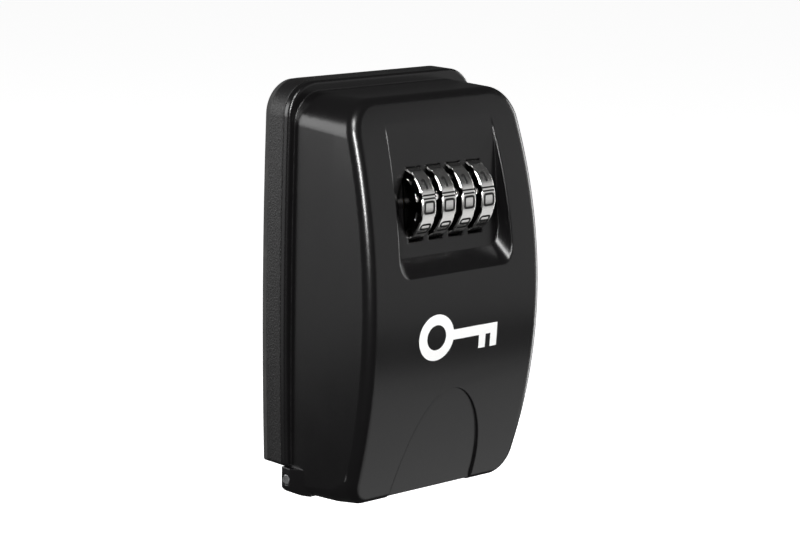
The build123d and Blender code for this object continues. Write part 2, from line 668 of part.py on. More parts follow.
# ================================================================ mechanism frame
with BuildPart() as mechanism_frame:
    with BuildSketch(front_plane(FRAME_BACK)):
        with Locations((0, sum(FRAME_Z) / 2)):
            Rectangle(2 * FRAME_HALF_WIDTH, FRAME_Z[1] - FRAME_Z[0])
        with Locations([(0, z) for z in (FRAME_LUGS[0][1], FRAME_LUGS[1][1])]):
            Rectangle(2 * (FRAME_LUGS[2][0] + 2.6), 5.2)
        with Locations(FRAME_LUGS):
            Circle(SCREW_R + 0.2, mode=Mode.SUBTRACT)
        with Locations((SIDE_LEFTS[0] - 2.3, AXLE_Z)):
            Rectangle(4.2, 3.6, mode=Mode.SUBTRACT)
        with Locations([(x, BOLT_SCREW_Z) for x in (-BOLT_SCREW_X, BOLT_SCREW_X)]):
            Circle(SCREW_R, mode=Mode.SUBTRACT)
        with Locations([(x, DETENT_SCREW_Z) for x in (-DETENT_SCREW_X, DETENT_SCREW_X)]):
            Circle(DETENT_RIVET_R, mode=Mode.SUBTRACT)
        with Locations((0, 26.0)):
            RectangleRounded(26, 9, 2, mode=Mode.SUBTRACT)
    extrude(amount=FRAME_THICK)
    for left in SIDE_LEFTS:
        with Locations(
            (left + FRAME_THICK / 2, -(FRAME_BACK + SIDE_FRONT) / 2, AXLE_Z)
        ):
            Box(FRAME_THICK, SIDE_FRONT - FRAME_BACK, 2 * SIDE_HALF_HEIGHT)
    for x in (-SPRING_X, SPRING_X):
        # ledges that the bolt springs stand on
        with Locations((x, -FRAME_BACK - 3.0, SPRING_SEAT_Z - 0.7)):
            Box(4.4, 6.0, 1.4)
    with Locations(axle_plane(0)):
        Cylinder(AXLE_R + RUNNING, 3 * FRAME_HALF_WIDTH, mode=Mode.SUBTRACT)
keep(mechanism_frame.part, "mechanism_frame")

with BuildPart() as frame_screws:
    for x, z in FRAME_LUGS:
        with BuildSketch(front_plane(FRAME_BACK - 0.8)):
            with Locations((x, z)):
                Circle(2.3)
                Rectangle(2.6, 0.6, mode=Mode.SUBTRACT)
        extrude(amount=0.8)
        with BuildSketch(front_plane(FRAME_BACK - 0.3)):
            with Locations((x, z)):
                Circle(SCREW_R)
        extrude(amount=0.3 + FRAME_THICK + SCREW_GRIP - 1)
keep(frame_screws.part, "frame_screws")

with BuildPart() as detent_spring:
    # leaf comb: a strip on the frame with one sprung finger behind each wheel
    rail = FRAME_BACK + FRAME_THICK
    with BuildSketch(side_plane(0)):
        with BuildLine():
            Polyline(
                (rail, 9.0),
                (rail, 13.2),
                (rail + 3.2, 20.2),
                (rail + 3.6, 20.2),
                (rail + 0.4, 13.0),
                (rail + 0.4, 9.0),
                close=True,
            )
        make_face()
    extrude(amount=DIAL_X[-1] + 2.0, both=True)
    with Locations([(x + DIAL_PITCH / 2, -rail - 2.0, 18.0) for x in DIAL_X[:-1]]):
        Box(DIAL_PITCH - 3.0, 8.0, 7.0, mode=Mode.SUBTRACT)
    with Locations(front_plane(rail)):
        with Locations([(x, DETENT_SCREW_Z) for x in (-DETENT_SCREW_X, DETENT_SCREW_X)]):
            Cylinder(DETENT_RIVET_R, 6, mode=Mode.SUBTRACT)
keep(detent_spring.part, "detent_spring")

with BuildPart() as detent_rivets:
    for x in (-DETENT_SCREW_X, DETENT_SCREW_X):
        with BuildSketch(front_plane(FRAME_BACK)):
            with Locations((x, DETENT_SCREW_Z)):
                Circle(DETENT_RIVET_R)
        extrude(amount=FRAME_THICK + 0.4)
        with BuildSketch(front_plane(FRAME_BACK + FRAME_THICK + 0.4)):
            with Locations((x, DETENT_SCREW_Z)):
                Circle(DETENT_RIVET_R + 0.7)
        extrude(amount=0.6)
keep(detent_rivets.part, "detent_rivets")

# ================================================================ lock bolt
with BuildPart() as lock_bolt:
    with BuildSketch(front_plane(BOLT_BACK)):
        with Locations((0, (BOLT_FOOT_Z + BOLT_TOP_Z) / 2)):
            Rectangle(2 * BOLT_HALF_WIDTH, BOLT_TOP_Z - BOLT_FOOT_Z)
        with Locations((0, BOLT_ARM_Z + 1.4)):
            Rectangle(2 * (SPRING_X + 1.5), 2.8)
        with Locations((0, (BOLT_TOP_Z + NOSE_TOP_Z) / 2 - 1)):
            Rectangle(7.0, NOSE_TOP_Z - BOLT_TOP_Z + 2)
        with Locations([(x, BOLT_SCREW_Z - BOLT_TRAVEL / 2) for x in (-BOLT_SCREW_X, BOLT_SCREW_X)]):
            SlotCenterToCenter(BOLT_TRAVEL, 2 * (SCREW_R + 0.1), rotation=90, mode=Mode.SUBTRACT)
    extrude(amount=BOLT_THICK)
    for x in FINGER_X:
        # finger that drops into a gate disc, on an arm between two wheels
        with Locations((x + GATE_THICK / 2, -(BOLT_BACK + FINGER_FRONT) / 2, BOLT_FOOT_Z + 1)):
            Box(GATE_THICK, FINGER_FRONT - BOLT_BACK, 2)
        with Locations((x + GATE_THICK / 2, AXLE_Y, (FINGER_FOOT_Z + BOLT_FOOT_Z) / 2)):
            Box(GATE_THICK, 1.6, BOLT_FOOT_Z - FINGER_FOOT_Z)
    nose = lock_bolt.edges().filter_by(Axis.X).group_by(Axis.Z)[-1].sort_by(Axis.Y)[-1]
    chamfer(nose, 0.9)
keep(lock_bolt.part, "lock_bolt")

with BuildPart() as bolt_guide_screws:
    for x in (-BOLT_SCREW_X, BOLT_SCREW_X):
        with BuildSketch(front_plane(FRAME_BACK)):
            with Locations((x, BOLT_SCREW_Z)):
                Circle(SCREW_R)
        extrude(amount=FRAME_THICK + 0.3 + BOLT_THICK + 0.2)
        with BuildSketch(front_plane(BOLT_BACK + BOLT_THICK + 0.2)):
            with Locations((x, BOLT_SCREW_Z)):
                Circle(SCREW_R + 1.1)
                Rectangle(2.8, 0.5, mode=Mode.SUBTRACT)
        extrude(amount=1.0)
keep(bolt_guide_screws.part, "bolt_guide_screws")

for side, x in (("left", -SPRING_X), ("right", SPRING_X)):
    with BuildPart() as bolt_spring:
        with BuildLine() as coil:
            Helix(
                SPRING_PITCH,
                BOLT_ARM_Z - SPRING_SEAT_Z - 2 * SPRING_WIRE_R,
                SPRING_COIL_R,
                center=(x, -BOLT_BACK - BOLT_THICK / 2 - 0.6, SPRING_SEAT_Z + SPRING_WIRE_R),
            )
        with BuildSketch(Plane(origin=coil.line @ 0, z_dir=coil.line % 0)):
            Circle(SPRING_WIRE_R)
        sweep()
    keep(bolt_spring.part, f"bolt_spring_{side}")

# ================================================================ mechanism cover
with BuildPart() as mechanism_cover:
    with BuildSketch(front_plane(COVER_BACK)):
        with Locations((0, sum(COVER_Z) / 2)):
            RectangleRounded(2 * COVER_HALF_WIDTH, COVER_Z[1] - COVER_Z[0], 2.0)
        with Locations((SIDE_LEFTS[0] - 2.3, AXLE_Z)):
            Rectangle(4.2, 3.6, mode=Mode.SUBTRACT)
    extrude(amount=COVER_THICK)
    with Locations((0, -(COVER_BACK + SHELF_FRONT) / 2, COVER_Z[0] + COVER_THICK / 2)):
        Box(2 * COVER_HALF_WIDTH - 4, SHELF_FRONT - COVER_BACK, COVER_THICK)
    with Locations(Plane(origin=(0, -COVER_BACK, 0), x_dir=(-1, 0, 0), z_dir=(0, 1, 0))):
        with Locations(COVER_LUGS):
            CounterSinkHole(SCREW_R + 0.1, SCREW_R + 1.1)
keep(mechanism_cover.part, "mechanism_cover")

with BuildPart() as cover_screws:
    for x, z in COVER_LUGS:
        with Locations(Plane(origin=(x, -COVER_BACK - 0.55, z), z_dir=(0, 1, 0))):
            Cone(SCREW_R, SCREW_R + 1.0, 1.1)
        with BuildSketch(front_plane(COVER_BACK + 0.9)):
            with Locations((x, z)):
                Circle(SCREW_R)
        extrude(amount=COVER_THICK + SCREW_GRIP - 2)
        with Locations((x, -COVER_BACK, z)):
            Box(2.8, 0.9, 0.6, mode=Mode.SUBTRACT)
            Box(0.6, 0.9, 2.8, mode=Mode.SUBTRACT)
keep(cover_screws.part, "cover_screws")

# ================================================================ striker and key hook
with BuildPart() as striker_bracket:
    with BuildSketch(side_plane(0)):
        with BuildLine():
            Polyline(
                (TRAY_BACK, STRIKER_FOOT_Z),
                (TRAY_BACK, STRIKER_Z + STRIKER_THICK),
                (STRIKER_FRONT, STRIKER_Z + STRIKER_THICK),
                (STRIKER_FRONT, STRIKER_Z),
                (TRAY_BACK + STRIKER_THICK, STRIKER_Z),
                (TRAY_BACK + STRIKER_THICK, STRIKER_FOOT_Z),
                close=True,
            )
        make_face()
    extrude(amount=STRIKER_HALF_WIDTH, both=True)
    inner_bend = striker_bracket.edges().filter_by(Axis.X).sort_by(
        lambda e: (e.center() - Vector(0, -TRAY_BACK - STRIKER_THICK, STRIKER_Z)).length
    )[0]
    fillet(inner_bend, STRIKER_BEND)
    with Locations((0, -BOLT_BACK - BOLT_THICK / 2, STRIKER_Z)):
        Box(8.0, BOLT_THICK + 1.0, 6, mode=Mode.SUBTRACT)
    with Locations(front_plane(TRAY_BACK)):
        with Locations(STRIKER_RIVETS):
            Cylinder(RIVET_R, 8, mode=Mode.SUBTRACT)
keep(striker_bracket.part, "striker_bracket")

with BuildPart() as key_hook:
    with BuildSketch(front_plane(TRAY_BACK)):
        with Locations((0, HOOK_PLATE_Z)):
            RectangleRounded(*HOOK_PLATE)
        with Locations(HOOK_RIVETS):
            Circle(RIVET_R, mode=Mode.SUBTRACT)
    extrude(amount=HOOK_THICK)
    with BuildSketch(side_plane(0)):
        with BuildLine():
            Polyline(
                (TRAY_BACK + 0.2, HOOK_FOOT_Z),
                (TRAY_BACK + HOOK_REACH - 1.4, HOOK_FOOT_Z),
                (TRAY_BACK + HOOK_REACH, HOOK_FOOT_Z + 1.8),
                (TRAY_BACK + HOOK_REACH, HOOK_TIP_Z),
                (TRAY_BACK + HOOK_REACH - HOOK_THICK, HOOK_TIP_Z),
                (TRAY_BACK + HOOK_REACH - HOOK_THICK, HOOK_FOOT_Z + 2.4),
                (TRAY_BACK + HOOK_REACH - 2.0, HOOK_FOOT_Z + HOOK_THICK),
                (TRAY_BACK + 0.2, HOOK_FOOT_Z + HOOK_THICK),
                close=True,
            )
        make_face()
    extrude(amount=HOOK_HALF_WIDTH, both=True)
    with Locations((0, -TRAY_BACK - HOOK_REACH / 2 - 2.1, HOOK_FOOT_Z + 3.4)):
        Box(HOOK_GAP, 9.0, 9.0, mode=Mode.SUBTRACT)
keep(key_hook.part, "key_hook")

for label, places, grip in (
    ("striker_rivets", STRIKER_RIVETS, STRIKER_THICK),
    ("hook_rivets", HOOK_RIVETS, HOOK_THICK),
):
    with BuildPart() as rivets:
        for x, z in places:
            with BuildSketch(front_plane(TRAY_BACK)):
                with Locations((x, z)):
                    Circle(RIVET_R)
            extrude(amount=grip)
            with BuildSketch(front_plane(TRAY_BACK + grip)):
                with Locations((x, z)):
                    Circle(RIVET_R + RIVET_HEAD)
            extrude(amount=RIVET_HEAD_THICK)
    keep(rivets.part, label)

print("nodes", len(NAMES), "door volume", round(door_shell.part.volume))
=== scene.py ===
"""Looks of the key lock box: materials, printed marks, stage, light and camera.

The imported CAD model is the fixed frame. Metres; +X right, +Y into the wall, +Z up.
"""

import json
import math

import bmesh
import bpy
from mathutils import Matrix, Vector
from mathutils.bvhtree import BVHTree


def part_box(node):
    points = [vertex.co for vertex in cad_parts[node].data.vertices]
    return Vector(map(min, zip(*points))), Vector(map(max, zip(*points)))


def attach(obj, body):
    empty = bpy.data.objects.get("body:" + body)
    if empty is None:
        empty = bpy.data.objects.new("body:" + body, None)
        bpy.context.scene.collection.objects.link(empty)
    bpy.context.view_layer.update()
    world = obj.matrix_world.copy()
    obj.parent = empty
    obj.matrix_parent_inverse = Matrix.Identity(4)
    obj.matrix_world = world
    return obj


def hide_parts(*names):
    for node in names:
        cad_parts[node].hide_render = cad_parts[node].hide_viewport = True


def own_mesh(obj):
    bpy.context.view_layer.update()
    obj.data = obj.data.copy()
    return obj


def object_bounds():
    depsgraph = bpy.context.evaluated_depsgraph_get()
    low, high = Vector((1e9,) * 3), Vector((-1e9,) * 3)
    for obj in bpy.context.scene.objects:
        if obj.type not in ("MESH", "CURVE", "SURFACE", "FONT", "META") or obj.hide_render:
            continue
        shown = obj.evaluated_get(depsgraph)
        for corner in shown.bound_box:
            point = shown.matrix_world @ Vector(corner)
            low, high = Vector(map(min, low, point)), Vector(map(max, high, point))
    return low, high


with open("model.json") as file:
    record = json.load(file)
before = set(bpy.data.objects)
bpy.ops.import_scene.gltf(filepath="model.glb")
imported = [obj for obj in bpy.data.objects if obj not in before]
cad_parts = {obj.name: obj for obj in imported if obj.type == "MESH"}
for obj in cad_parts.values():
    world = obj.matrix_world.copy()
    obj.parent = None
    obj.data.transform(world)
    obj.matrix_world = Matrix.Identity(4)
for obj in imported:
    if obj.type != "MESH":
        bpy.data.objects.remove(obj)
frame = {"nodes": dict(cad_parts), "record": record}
cad_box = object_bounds()
NODES = frame["nodes"]

MM = 0.001
AXLE_Y = -33.0 * MM
AXLE_Z = 26.5 * MM

# sizes of the surface detail, as plain numbers of millimetres
PAINT_CLOUD = 14
PAINT_EDGE = 0.6
RUBBED_PATCH = 1.6
METAL_SMUDGE = 3.5
METAL_EDGE = 0.2
METAL_LINE = 0.12
RUBBER_PEBBLE = 0.45
RUBBER_PEBBLE_DEPTH = 0.03
RUBBER_DUST = 6
INK_GRAIN = 0.25
INK_GRAIN_DEPTH = 0.004
FLOOR_CLOUD = 60

# a wheel's faces that look along X carry painted shade, for the shade in the narrow slots the wheels
# turn in, out to the first distance from the axle, and are bright from the second
RIM_START = 10.5 * MM
RIM_FULL = 10.8 * MM


# ---------------------------------------------------------------- node helpers
class Graph:
    """A material's node tree with short ways to add and join nodes."""

    def __init__(self, name):
        self.material = bpy.data.materials.new(name)
        self.material.use_nodes = True
        self.tree = self.material.node_tree
        self.tree.nodes.clear()
        self.output = self.tree.nodes.new("ShaderNodeOutputMaterial")
        self.shader = self.tree.nodes.new("ShaderNodeBsdfPrincipled")
        self.join(self.shader.outputs["BSDF"], self.output.inputs["Surface"])
        self.place = self.add("ShaderNodeTexCoord").outputs["Object"]

    def add(self, kind, **settings):
        node = self.tree.nodes.new(kind)
        for key, value in settings.items():
            setattr(node, key, value)
        return node

    def join(self, source, target):
        self.tree.links.new(source, target)

    def feed(self, node, **values):
        """Set or link inputs by name; an underscore stands for a space."""
        for key, value in values.items():
            socket = node.inputs[key.replace("_", " ")]
            if isinstance(value, bpy.types.NodeSocket):
                self.join(value, socket)
            else:
                socket.default_value = value
        return node

    def stretched(self, scale):
        """Object coordinates scaled by this much along X, Y and Z."""
        mapping = self.add("ShaderNodeMapping")
        self.feed(mapping, Vector=self.place, Scale=scale)
        return mapping.outputs["Vector"]

    def noise(self, size_mm, detail=2.0, rough=0.5, vector=None):
        """Noise whose lumps are about this many millimetres across."""
        node = self.add("ShaderNodeTexNoise")
        self.feed(
            node,
            Vector=vector or self.place,
            Scale=1 / (size_mm * MM),
            Detail=detail,
            Roughness=rough,
        )
        return node.outputs["Fac"]

    def ramp(self, value, low, high, start=0.3, end=0.7):
        """Colour that runs from low to high as value runs from start to end."""
        node = self.add("ShaderNodeValToRGB")
        first, last = node.color_ramp.elements
        first.position, first.color = start, (*low, 1)
        last.position, last.color = end, (*high, 1)
        self.join(value, node.inputs["Fac"])
        return node.outputs["Color"]

    def span(self, value, low, high, start=0.3, end=0.7):
        """Number that runs from low to high as value runs from start to end."""
        node = self.add("ShaderNodeMapRange")
        self.feed(node, Value=value, From_Min=start, From_Max=end, To_Min=low, To_Max=high)
        return node.outputs["Result"]

    def mix(self, amount, first, second):
        """Colour between first and second."""
        node = self.add("ShaderNodeMix", data_type="RGBA")
        sockets = [s for s in node.inputs if s.type == "RGBA"]
        self.join(amount, node.inputs["Factor"])
        for socket, colour in zip(sockets, (first, second)):
            if isinstance(colour, bpy.types.NodeSocket):
                self.join(colour, socket)
            else:
                socket.default_value = (*colour, 1)
        return next(s for s in node.outputs if s.type == "RGBA")

    def maths(self, kind, first, second=0.0):
        """Result of one arithmetic step on numbers or sockets."""
        node = self.add("ShaderNodeMath", operation=kind)
        for socket, value in zip(node.inputs, (first, second)):
            if isinstance(value, bpy.types.NodeSocket):
                self.join(value, socket)
            else:
                socket.default_value = value
        return node.outputs["Value"]

    def reach(self):
        """Distance from the dial axle."""
        parts = self.add("ShaderNodeSeparateXYZ")
        self.join(self.place, parts.inputs[0])
        across = self.maths("SUBTRACT", parts.outputs["Y"], AXLE_Y)
        upward = self.maths("SUBTRACT", parts.outputs["Z"], AXLE_Z)
        square = self.maths(
            "ADD", self.maths("MULTIPLY", across, across), self.maths("MULTIPLY", upward, upward)
        )
        return self.maths("SQRT", square)

    def edges(self, radius_mm):
        """1 on edges sharper than this radius, 0 on flats; also the rounded normal."""
        bevel = self.add("ShaderNodeBevel", samples=6)
        bevel.inputs["Radius"].default_value = radius_mm * MM
        plain = self.add("ShaderNodeNewGeometry").outputs["Normal"]
        dot = self.add("ShaderNodeVectorMath", operation="DOT_PRODUCT")
        self.join(bevel.outputs["Normal"], dot.inputs[0])
        self.join(plain, dot.inputs[1])
        mask = self.span(dot.outputs["Value"], 1, 0, 0.75, 0.99)
        return mask, bevel.outputs["Normal"]

    def bump(self, height, depth_mm, normal=None):
        """Normal that rises and falls with height, on top of another normal if given."""
        node = self.add("ShaderNodeBump")
        self.feed(node, Height=height, Distance=depth_mm * MM, Strength=1.0)
        if normal:
            self.join(normal, node.inputs["Normal"])
        return node.outputs["Normal"]


# ---------------------------------------------------------------- materials
def painted_metal(name, dark, light, rough, grain_mm, depth_mm, wear=0.25):
    """Sprayed paint: fine orange peel, uneven gloss and edges rubbed a little brighter."""
    g = Graph(name)
    cloud = g.noise(PAINT_CLOUD, 2)
    grain = g.noise(grain_mm, 3, 0.6)
    edge, rounded = g.edges(PAINT_EDGE)
    rub = g.maths("MULTIPLY", edge, g.span(g.noise(RUBBED_PATCH, 4), 0, wear, 0.42, 0.66))
    worn = tuple(2.6 * c + 0.02 for c in light)
    uneven = g.maths("ADD", grain, g.maths("MULTIPLY", cloud, 0.3))
    g.feed(
        g.shader,
        Base_Color=g.mix(rub, g.ramp(cloud, dark, light), worn),
        Roughness=g.span(uneven, *rough, 0.4, 0.9),
        Normal=g.bump(grain, depth_mm, rounded),
    )
    return g.material


def brushed_metal(name, dark, light, rough, stretch, depth_mm=0.004, painted_side_shade=None):
    """Metal with fine lines along one direction, smudges, and edges worn bright.

    The faces of a wheel that look along X can take painted shade: a dark colour that stands for the
    shade in the narrow slots the wheels turn in.
    """
    g = Graph(name)
    lines = g.noise(METAL_LINE, 2, 0.6, g.stretched(stretch))
    smudge = g.noise(METAL_SMUDGE, 4)
    edge, rounded = g.edges(METAL_EDGE)
    both = g.maths("ADD", g.maths("MULTIPLY", lines, 0.6), g.maths("MULTIPLY", smudge, 0.4))
    colour = g.ramp(both, dark, light)
    bright = tuple(min(1, 1.15 * c) for c in light)
    colour = g.mix(edge, colour, bright)
    # painted shade: faces looking along X, inside the rim, turn dark for the shade in the wheel's
    # slot
    if painted_side_shade:
        parts = g.add("ShaderNodeSeparateXYZ")
        g.join(g.add("ShaderNodeTexCoord").outputs["Normal"], parts.inputs[0])
        sideways = g.span(g.maths("ABSOLUTE", parts.outputs["X"]), 0, 1, 0.35, 0.6)
        shade_inside_rim = g.span(g.reach(), 1, 0, RIM_START, RIM_FULL)
        colour = g.mix(g.maths("MULTIPLY", sideways, shade_inside_rim), colour, painted_side_shade)
    g.feed(
        g.shader,
        Base_Color=colour,
        Roughness=g.span(both, *rough),
        Normal=g.bump(lines, depth_mm, rounded),
    )
    g.shader.inputs["Metallic"].default_value = 1.0
    return g.material


def soft_rubber(name, dark, light):
    """Matt rubber or foam with a pebbled skin and a dusty bloom."""
    g = Graph(name)
    pebble = g.noise(RUBBER_PEBBLE, 4, 0.65)
    dust = g.noise(RUBBER_DUST, 5)
    g.feed(
        g.shader,
        Base_Color=g.mix(g.span(dust, 0, 0.5, 0.45, 0.75), dark, light),
        Roughness=g.span(pebble, 0.65, 0.9),
        Normal=g.bump(pebble, RUBBER_PEBBLE_DEPTH),
    )
    return g.material


def ink(name, colour, speck):
    """Printed or filled-in paint, slightly uneven."""
    g = Graph(name)
    grain = g.noise(INK_GRAIN, 3)
    g.feed(
        g.shader,
        Base_Color=g.ramp(grain, colour, speck),
        Roughness=g.span(grain, 0.5, 0.7),
        Normal=g.bump(grain, INK_GRAIN_DEPTH),
    )
    g.shader.inputs["Specular IOR Level"].default_value = 0.2
    return g.material


DOOR_PAINT = painted_metal(
    "door_paint", (0.0034, 0.0032, 0.0034), (0.0042, 0.004, 0.0042), (0.22, 0.26), 0.5, 0.003
)
CASE_PAINT = painted_metal(
    "case_paint", (0.003, 0.0028, 0.003), (0.007, 0.0066, 0.0066), (0.4, 0.55), 0.6, 0.14, 0.1
)
COVER_PAINT = painted_metal(
    "cover_paint", (0.018, 0.018, 0.019), (0.028, 0.028, 0.029), (0.35, 0.5), 0.6, 0.01
)
WHEEL_METAL = brushed_metal(
    "wheel_metal",
    (0.74, 0.735, 0.72),
    (0.93, 0.92, 0.9),
    (0.2, 0.28),
    (6, 1, 1),
    # painted shade on the faces that look along X, for the shade in the slots the wheels turn in
    painted_side_shade=(0.035, 0.034, 0.033),
)
PIN_STEEL = brushed_metal("pin_steel", (0.42, 0.42, 0.43), (0.6, 0.6, 0.61), (0.2, 0.35), (1, 6, 6))
PLATE_STEEL = brushed_metal(
    "plate_steel", (0.5, 0.49, 0.46), (0.68, 0.67, 0.64), (0.28, 0.45), (1, 1, 8)
)
SCREW_STEEL = brushed_metal(
    "screw_steel", (0.4, 0.4, 0.4), (0.62, 0.62, 0.61), (0.25, 0.4), (1, 1, 1), 0.006
)
SPRING_STEEL = brushed_metal(
    "spring_steel", (0.38, 0.38, 0.4), (0.55, 0.55, 0.57), (0.18, 0.3), (1, 1, 5)
)
HUB_BRASS = brushed_metal(
    "hub_brass", (0.55, 0.38, 0.13), (0.78, 0.58, 0.26), (0.22, 0.36), (6, 1, 1)
)
PAD_RUBBER = soft_rubber("pad_rubber", (0.018, 0.018, 0.018), (0.05, 0.048, 0.046))
SEAL_RUBBER = soft_rubber("seal_rubber", (0.008, 0.008, 0.008), (0.02, 0.02, 0.02))
WHITE_INK = ink("white_ink", (0.86, 0.86, 0.85), (0.93, 0.93, 0.92))
BLACK_INK = ink("black_ink", (0.006, 0.006, 0.006), (0.014, 0.014, 0.014))

FINISH = {
    "pad_rubber": PAD_RUBBER,
    "case_paint": CASE_PAINT,
    "seal_rubber": SEAL_RUBBER,
    "door_paint": DOOR_PAINT,
    "pin_steel": PIN_STEEL,
    "dial_chrome": WHEEL_METAL,
    "hub_brass": HUB_BRASS,
    "spring_steel": SPRING_STEEL,
    "plate_steel": PLATE_STEEL,
    "screw_steel": SCREW_STEEL,
    "cover_paint": COVER_PAINT,
}
for subpart in frame["record"]["subparts"]:
    mesh = NODES[subpart["node"]].data
    mesh.materials.clear()
    mesh.materials.append(FINISH[subpart["material_slot"]])


# ---------------------------------------------------------------- making pieces
def make_piece(name, bm, material, body):
    """Turn a bmesh into a piece that rides on a body."""
    bmesh.ops.remove_doubles(bm, verts=bm.verts, dist=0.001 * MM)
    bmesh.ops.recalc_face_normals(bm, faces=bm.faces)
    mesh = bpy.data.meshes.new(name)
    bm.to_mesh(mesh)
    bm.free()
    mesh.materials.append(material)
    piece = bpy.data.objects.new(name, mesh)
    bpy.context.scene.collection.objects.link(piece)
    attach(piece, body)
    return piece


def rounded_path(corners, radius, closed, steps=5):
    """Points along a path of straight lines whose corners are rounded."""
    points = []
    count = len(corners)
    for i, corner in enumerate(corners):
        here = Vector(corner)
        if not closed and i in (0, count - 1):
            points.append(here)
            continue
        before = Vector(corners[i - 1]) - here
        after = Vector(corners[(i + 1) % count]) - here
        cut = min(radius, before.length / 2, after.length / 2)
        start = here + before.normalized() * cut
        end = here + after.normalized() * cut
        for k in range(steps + 1):
            t = k / steps
            points.append(start * (1 - t) ** 2 + here * 2 * t * (1 - t) + end * t**2)
    return points


def resampled(points, closed, pitch):
    """The same path with extra points, so that it can bend round a curved face."""
    result = []
    pairs = list(zip(points, points[1:] + points[:1] if closed else points[1:]))
    for a, b in pairs:
        count = max(1, math.ceil((b - a).length / pitch))
        result += [a.lerp(b, k / count) for k in range(count)]
    return result if closed else result + [points[-1]]


def add_stroke(bm, points, closed, width, place, top, foot):
    """Solid band along flat points; place(u, v, height) puts a point on the object."""
    count = len(points)
    rings = []
    for i, p in enumerate(points):
        back = points[i - 1] if closed or i else p
        ahead = points[(i + 1) % count] if closed or i < count - 1 else p
        along = (ahead - back).normalized()
        side = Vector((-along.y, along.x)) * (width / 2)
        rings.append(
            [
                bm.verts.new(place(*(p + s * side), height))
                for s, height in ((-1, foot), (-1, top), (1, top), (1, foot))
            ]
        )
    last = count if closed else count - 1
    for i in range(last):
        a, b = rings[i], rings[(i + 1) % count]
        for k in range(4):
            bm.faces.new((a[k], a[(k + 1) % 4], b[(k + 1) % 4], b[k]))
    if not closed:
        bm.faces.new(rings[0])
        bm.faces.new(list(reversed(rings[-1])))


# ---------------------------------------------------------------- digits on the wheels
# strokes of each digit in a square from -1 to 1; the first value says whether it is closed
DIGIT_STROKES = {
    0: [(True, [(-1, -1), (1, -1), (1, 1), (-1, 1)])],
    1: [(False, [(-0.55, 0.55), (0.1, 1), (0.1, -1)])],
    2: [(False, [(-1, 1), (1, 1), (1, 0), (-1, 0), (-1, -1), (1, -1)])],
    3: [(False, [(-1, 1), (1, 1), (1, -1), (-1, -1)]), (False, [(-0.4, 0), (1, 0)])],
    4: [(False, [(-1, 1), (-1, -0.1), (1, -0.1)]), (False, [(0.5, 1), (0.5, -1)])],
    5: [(False, [(1, 1), (-1, 1), (-1, 0), (1, 0), (1, -1), (-1, -1)])],
    6: [(False, [(1, 1), (-1, 1), (-1, -1), (1, -1), (1, 0), (-1, 0)])],
    7: [(False, [(-1, 1), (1, 1), (-0.2, -1)])],
    8: [(True, [(-1, -1), (1, -1), (1, 1), (-1, 1)]), (False, [(-1, 0), (1, 0)])],
    9: [(False, [(1, 0), (-1, 0), (-1, 1), (1, 1), (1, -1), (-1, -1)])],
}
DIGIT_HALF_WIDTH = 1.75 * MM
DIGIT_HALF_HEIGHT = 1.64 * MM
DIGIT_STROKE = 0.7 * MM
DIGIT_CORNER = 0.75 * MM
STROKE_PITCH = 0.3 * MM
INK_PROUD = 0.02 * MM
INK_SUNK = 0.15 * MM
ZERO_BAR_ANGLE = math.radians(16)
ZERO_BAR_LENGTH = 4.6 * MM
ZERO_BAR_WIDTH = 1.5 * MM


def add_wheel_digits(number):
    """Digits 0 to 9 round one wheel, and the bar above its zero."""
    low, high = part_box(f"dial_wheel_{number}")
    centre = (low + high) / 2
    radius = (high.z - low.z) / 2

    def on_wheel(u, v, height):
        angle = v / radius
        reach = radius + height
        return (
            centre.x + u,
            centre.y - reach * math.cos(angle),
            centre.z + reach * math.sin(angle),
        )

    ink_mesh = bmesh.new()
    for digit, strokes in DIGIT_STROKES.items():
        offset = Vector((0, digit * math.tau / 10 * radius))
        for closed, corners in strokes:
            flat = [(x * DIGIT_HALF_WIDTH, y * DIGIT_HALF_HEIGHT) for x, y in corners]
            path = resampled(rounded_path(flat, DIGIT_CORNER, closed), closed, STROKE_PITCH)
            path = [p + offset for p in path]
            add_stroke(ink_mesh, path, closed, DIGIT_STROKE, on_wheel, INK_PROUD, -INK_SUNK)
    middle = ZERO_BAR_ANGLE * radius
    bar = [Vector((side * ZERO_BAR_LENGTH / 2, middle)) for side in (-1, 1)]
    add_stroke(ink_mesh, bar, False, ZERO_BAR_WIDTH, on_wheel, INK_PROUD, -INK_SUNK)
    digits = make_piece(f"wheel_digits_{number}", ink_mesh, BLACK_INK, f"dial_{number}")


for wheel in range(1, 5):
    add_wheel_digits(wheel)


# ---------------------------------------------------------------- clutch spring
# a copy of the clutch spring that rides on the door, shown in place of the CAD spring
coil_mesh = bmesh.new()
coil_mesh.from_mesh(NODES["clutch_spring"].data)
coil_mesh.transform(NODES["clutch_spring"].matrix_world)
coils = make_piece("clutch_spring_coils", coil_mesh, SPRING_STEEL, "door")
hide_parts("clutch_spring")
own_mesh(coils)


# ---------------------------------------------------------------- key pictogram
# laid on the door's own surface
door_mesh = NODES["door_shell"].data
door_tree = BVHTree.FromPolygons(
    [v.co for v in door_mesh.vertices], [p.vertices for p in door_mesh.polygons]
)
AHEAD_OF_FRONT = cad_box[0].y - 10 * MM
KEY_PROUD = 0.03 * MM
KEY_SUNK = 0.1 * MM


def on_front(u, v, height):
    """Point this high above the door's front, at u across and v up."""
    hit = door_tree.ray_cast(Vector((u, AHEAD_OF_FRONT, v)), Vector((0, 1, 0)))[0]
    return (u, hit.y - height, v)


